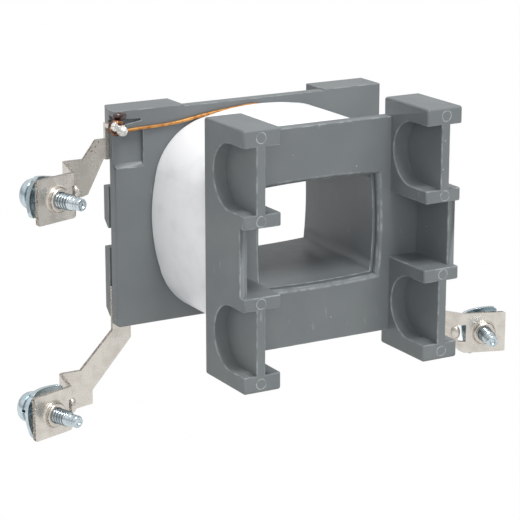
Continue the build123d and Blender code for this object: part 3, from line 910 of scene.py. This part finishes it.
def oval(inset, count=40):
    """The winding's outline, inset evenly, counter-clockwise from the lower right."""
    side = (winding_width / 2 - shoulder_drop - inset, shoulder_height / 2)
    crown = (shoulder_width / 2, winding_height / 2 - shoulder_drop - inset)
    reach = inset * cos(radians(45))
    corner = (corner_width / 2 - reach, corner_height / 2 - reach)
    middle_side = (winding_width / 2 - inset, 0)
    middle_crown = (0, winding_height / 2 - inset)
    upwards, downwards = (middle_side, side, corner, crown), (middle_crown, crown, corner, side)
    quarters = ((1, 1, upwards), (-1, 1, downwards), (-1, -1, upwards), (1, -1, downwards))
    stops = [(x * x_sign, z * z_sign) for x_sign, z_sign, quarter in quarters for x, z in quarter]
    points = []
    for i in range(0, len(stops), 2):
        points += arc_points(stops[i - 1], stops[i], stops[i + 1], count)
    c, s = cos(winding_tilt), sin(winding_tilt)
    return [(x * c - z * s, x * s + z * c) for x, z in points]


print(len(oval(0)), "points round the tape")

# %% [markdown]
# ### Where the lead crosses the tape
# The end of the winding comes out under the tape's back edge and runs along it. Where a
# wire lies on tape the tape is pressed down, so the route of the wire has to be known
# before the tape is made. It is a short list of given points, as for any wire that lies
# free.

# %% Where the lead crosses the tape
wire_radius, lead_depth = 0.375, 43.55
lead_line = [(2.9, 21.0), (2.4, 22.4), (1.4, 23.4), (-2.0, 23.3), (-5.6, 22.95), (-9.1, 22.65), (-12.1, 22.3),
             (-15.3, 21.8), (-18.2, 21.35), (-21.1, 21.05), (-25.8, 20.9), (-28.9, 20.85), (-31.6, 20.65)]
bed_start, bed_bottom, bed_gap = 1.4, 15, 0.02
bed_edge = lead_depth - wire_radius - 0.12


def bed(x, y, z):
    """The height of the tape, pressed down to just under the lead where that lies on it."""
    if z < bed_bottom or x > bed_start or y < bed_edge:
        return z
    xs, zs = zip(*sorted(lead_line))
    return min(z, float(np.interp(x, xs, zs)) - wire_radius - bed_gap)


print("the lead comes through the tape at x =", bed_start, "mm")

# %% Tape
tape_front, tape_back, tape_wall = 16.9, 43.9, 0.9
rim_curl, rim_reach = 0.3, 0.9
even_rows = np.linspace(tape_front, 42.8, 58)
rows_by_lead = (42.95, 43.04, 43.2, 43.5)
wave_length, fold_width, fold_length = 9, 2.2, 16
fold_seed = Vector((3.1, 7.7, 1.9))


def fold_depth(x, y, z):
    """How far the tape dips: broad waves, and narrow folds drawn out across its width."""
    broad = noise.noise(Vector((x, y, z)) / wave_length + fold_seed)
    fold = noise.noise(Vector((x / fold_width, y / fold_length, z / fold_width)) + 2 * fold_seed)
    return max(0, 0.05 + 0.05 * broad + 0.09 * max(0, fold) ** 1.5)


def tape_mesh():
    """The tape as a closed sleeve, from its front rim to its back rim and back inside."""
    outer = np.array(oval(0.02))
    inner = np.array(oval(tape_wall))
    inward = inner - outer
    inward /= np.linalg.norm(inward, axis=1)[:, None]
    shape = bmesh.new()
    rings = []
    for y in (*even_rows, *rows_by_lead, tape_back):
        rim = min(y - tape_front, tape_back - y)
        curl = rim_curl * max(0, 1 - rim / rim_reach) ** 2
        ring = []
        for point, way_in in zip(outer, inward):
            x, z = point + way_in * (curl + fold_depth(point[0], y, point[1]))
            ring.append(shape.verts.new(in_metres((x, y, bed(x, y, z)))))
        rings.append(ring)
    for y in (tape_back, tape_front):
        rings.append([shape.verts.new(in_metres((x, y, z))) for x, z in inner])
    bridged(shape, rings + [rings[0]])
    mesh = mesh_of("tape_mesh", shape, tape_white)
    mesh.shade_smooth()
    mesh.set_sharp_from_angle(angle=radians(50))
    return mesh


wrapped = as_piece("wrapped_tape", tape_mesh(), "coil", ["tape"])
print("tape:", len(wrapped.data.polygons), "faces")

# %% [markdown]
# ## Finish lead
# The outer end of the winding runs along the flange, over the shoulder of the tape, and
# takes its turns round the post, where it is soldered. Straight runs with rounded
# corners would look like bent rod. A spline through a few control points bends as soft
# wire does, and the turns are more points of the same spline.

# %% Finish lead
post_x, post_level = -34.3, 21.7
turn_radius, turn_pitch, turns, points_per_turn = 1.42, 0.72, 2.6, 12


def lead_route():
    """Control points of the lead in millimetres, from under the tape to its last turn."""
    route = [(x, lead_depth, z) for x, z in lead_line]
    route += [(-33.2, lead_depth, 20.42), (post_x + 0.2, lead_depth, post_level - turn_radius)]
    steps = int(points_per_turn * turns)
    for i in range(1, steps + 1):
        angle = -pi / 2 - 2 * pi * turns * i / steps
        y = lead_depth - turn_pitch * turns * i / steps
        route.append((post_x + turn_radius * cos(angle), y, post_level + turn_radius * sin(angle)))
    return route


def wire_mesh(name, route, radius_mm, finish):
    """A round wire along a smooth spline with these control points, closed at its ends."""
    curve = bpy.data.curves.new(name, "CURVE")
    curve.dimensions = "3D"
    curve.bevel_depth = radius_mm * mm
    curve.bevel_resolution = 5
    curve.resolution_u = 6
    curve.use_fill_caps = True
    spline = curve.splines.new("NURBS")
    spline.points.add(len(route) - 1)
    for point, stop in zip(spline.points, route):
        point.co = (*in_metres(stop), 1)
    spline.order_u = 3
    spline.use_endpoint_u = True
    mesh = taken_off(linked(name, curve))
    mesh.materials.clear()
    mesh.materials.append(finish)
    mesh.shade_smooth()
    return mesh


lead_mesh = wire_mesh("lead_mesh", lead_route(), wire_radius, enamel)
as_piece("copper_lead", lead_mesh, "coil", ["finish_lead"])
print("lead:", len(lead_route()), "control points,", len(lead_mesh.polygons), "faces")


# %% [markdown]
# ### Solder and varnish
# Solder and varnish set as drops: round where they were wet, dented where they shrank
# as they cooled. A drop is a sphere drawn out along each axis, with a little noise in
# its radius. Two drops that run into each other make the uneven lump on the post.

# %% Solder and varnish
def lump(name, centre, radii, finish, dent, seed):
    """A set drop with its centre and its three radii in millimetres, dented by a share."""
    shape = bmesh.new()
    bmesh.ops.create_icosphere(shape, subdivisions=4, radius=1)
    for vert in shape.verts:
        broad = noise.noise(vert.co * 1.9 + Vector((seed, 2, 5)))
        fine = noise.noise(vert.co * 4.3 + Vector((5, seed, 1)))
        vert.co *= 1 - dent * (0.5 + 0.5 * broad) - 0.05 * fine
        vert.co = Vector(c + v * r for c, v, r in zip(centre, vert.co, radii)) * mm
    mesh = mesh_of(name, shape, finish)
    mesh.shade_smooth()
    return mesh


tip_centre = (post_x + 0.05, 40.0, post_level - 0.15)
patch_centre = (post_x - 0.9, 41.6, post_level + 0.5)
bead_centre = (post_x + 1.2, 43.75, 24.0)
drops = [lump("tip", tip_centre, (1.3, 1.6, 1.35), solder_bright, 0.18, 3.0),
         lump("patch", patch_centre, (1.1, 0.85, 1.25), solder_bright, 0.3, 5.0)]
bead = lump("varnish_mesh", bead_centre, (1.75, 1.05, 1.0), varnish, 0.12, 2.0)
as_piece("post_solder_drop", joined("post_solder_mesh", drops), "coil", ["post_solder"])
as_piece("varnish_bead", bead, "coil", ["varnish_drop"])
print(len(drops), "drops of solder on the post, and a varnish bead")

# %% [markdown]
# ### Bosses at the bends
# Each bend is stiffened by a small boss, pressed outwards beside the relief slot. It
# catches the light as a bright spot. A slightly dented ellipsoid, sunk into the strip by
# half, gives that shape, and is simpler than a bulge in the strip's own mesh.

# %% Bosses at the bends
tab_width = 11.0
boss_radii, boss_inset, boss_depth = (1.15, 1.25, 1.8), 0.85, 1.35
for place in places:
    side = 1 if place.endswith("right") else -1
    bend = tab_frame(place) @ in_metres((-side * tab_width / 2, 0, 0)) / mm
    middle = (bend.x - side * boss_inset, bend.y + boss_depth, bend.z)
    boss = lump(f"{place}_boss_mesh", middle, boss_radii, nickel, 0.06, 1.0)
    as_piece(f"{place}_boss", boss, "coil", [])
print(len(places), "bosses")


# %% [markdown]
# ## Floor, background and light
# The photograph has a pure white background and soft, nearly shadowless light, brighter
# from above. White comes from what the camera and the reflections see, and not from more
# light on the object, which would bleach the tape. The world and the floor show white to
# the camera. The object itself is lit by a weaker sky, a little brighter above and on
# the right, by a large lamp above it and by a second one from the camera's side. The
# second one isn't mirrored in the metal, where it would show as a hard square.

# %% World
def ray(graph, kind):
    """1 for rays of one kind: Camera, Glossy or Transmission."""
    return graph.add("ShaderNodeLightPath", output=f"Is {kind} Ray")


def white_sky(graph, strength):
    """White light from all round. A strength of 1 is seen as white."""
    return graph.add("ShaderNodeBackground", inputs={"Color": (1, 1, 1, 1), "Strength": strength})


world = bpy.data.worlds.new("studio")
bpy.context.scene.world = world
world.use_nodes = True
world.node_tree.nodes.clear()
sky = Graph(world.node_tree)
sky_level, sky_rise, sky_east = 0.56, 0.26, 0.14
east, _, height = sky.split(sky.add("ShaderNodeTexCoord", output="Generated"))
lighting = white_sky(sky, sky_level + height * sky_rise + east * sky_east)
mirrored = white_sky(sky, 0.48 + 0.52 * height.smooth(0.05, 0.6))
background = white_sky(sky, 1.0)
on_object = sky.add("ShaderNodeMixShader", inputs={0: ray(sky, "Glossy"), 1: lighting, 2: mirrored})
seen = ray(sky, "Camera") + ray(sky, "Transmission")
studio = sky.add("ShaderNodeMixShader", inputs={0: seen, 1: on_object, 2: background})
sky.add("ShaderNodeOutputWorld", inputs={"Surface": studio})
bpy.context.scene.view_settings.view_transform = "Standard"
print(f"sky strength {sky_level - sky_rise:.2f} below and {sky_level + sky_rise:.2f} above")

# %% Floor
half_width_m, gap_below, floor_glow = 3, 0.3, 0.995


def floor_finish():
    """White to the camera and in reflections, with a trace of the object's shadow."""
    finish = Finish("floor", Roughness=0.9, Base_Color=paint("#C8C8C8"))
    glow = finish.add("ShaderNodeEmission", inputs={"Color": (1, 1, 1, 1), "Strength": 1.0})
    seen = ray(finish, "Camera") + ray(finish, "Glossy")
    plain = Field(finish, finish.shader.outputs[0])
    both = finish.add("ShaderNodeMixShader", inputs={0: seen * floor_glow, 1: plain, 2: glow})
    finish.feed(finish.tree.nodes["Material Output"].inputs["Surface"], both)
    return finish.material


floor_level = cad_box[0].z - gap_below * mm
ends = (-half_width_m, half_width_m)
corners = [(ends[i], ends[j], floor_level) for i, j in ((0, 0), (1, 0), (1, 1), (0, 1))]
floor_mesh = bpy.data.meshes.new("floor")
floor_mesh.from_pydata(corners, [], [(0, 1, 2, 3)])
floor_mesh.materials.append(floor_finish())
linked("floor", floor_mesh)
print("floor at", round(floor_level / mm, 1), "mm")


# %% Lamps
def lamp(name, place, size, watts, mirrored):
    """A soft square lamp aimed at the coil. Shiny parts show it only if it is mirrored."""
    light = bpy.data.lights.new(name, "AREA")
    light.size = size
    light.energy = watts
    holder = linked(name, light)
    holder.location = place
    holder.visible_glossy = mirrored
    holder.rotation_euler = (-Vector(place)).to_track_quat("-Z", "Y").to_euler()
    print(name, watts, "W,", round(Vector(place).length, 2), "m away")


lamp("top_lamp", (0.02, -0.3, 0.75), 0.28, 5.2, True)
lamp("front_lamp", (-0.42, -0.72, 0.24), 0.3, 1.9, False)

# %% [markdown]
# ## Size and finish
# The dressed part has to fit the box of its solids, because the screws, the mounts and
# the collision shapes come from them.
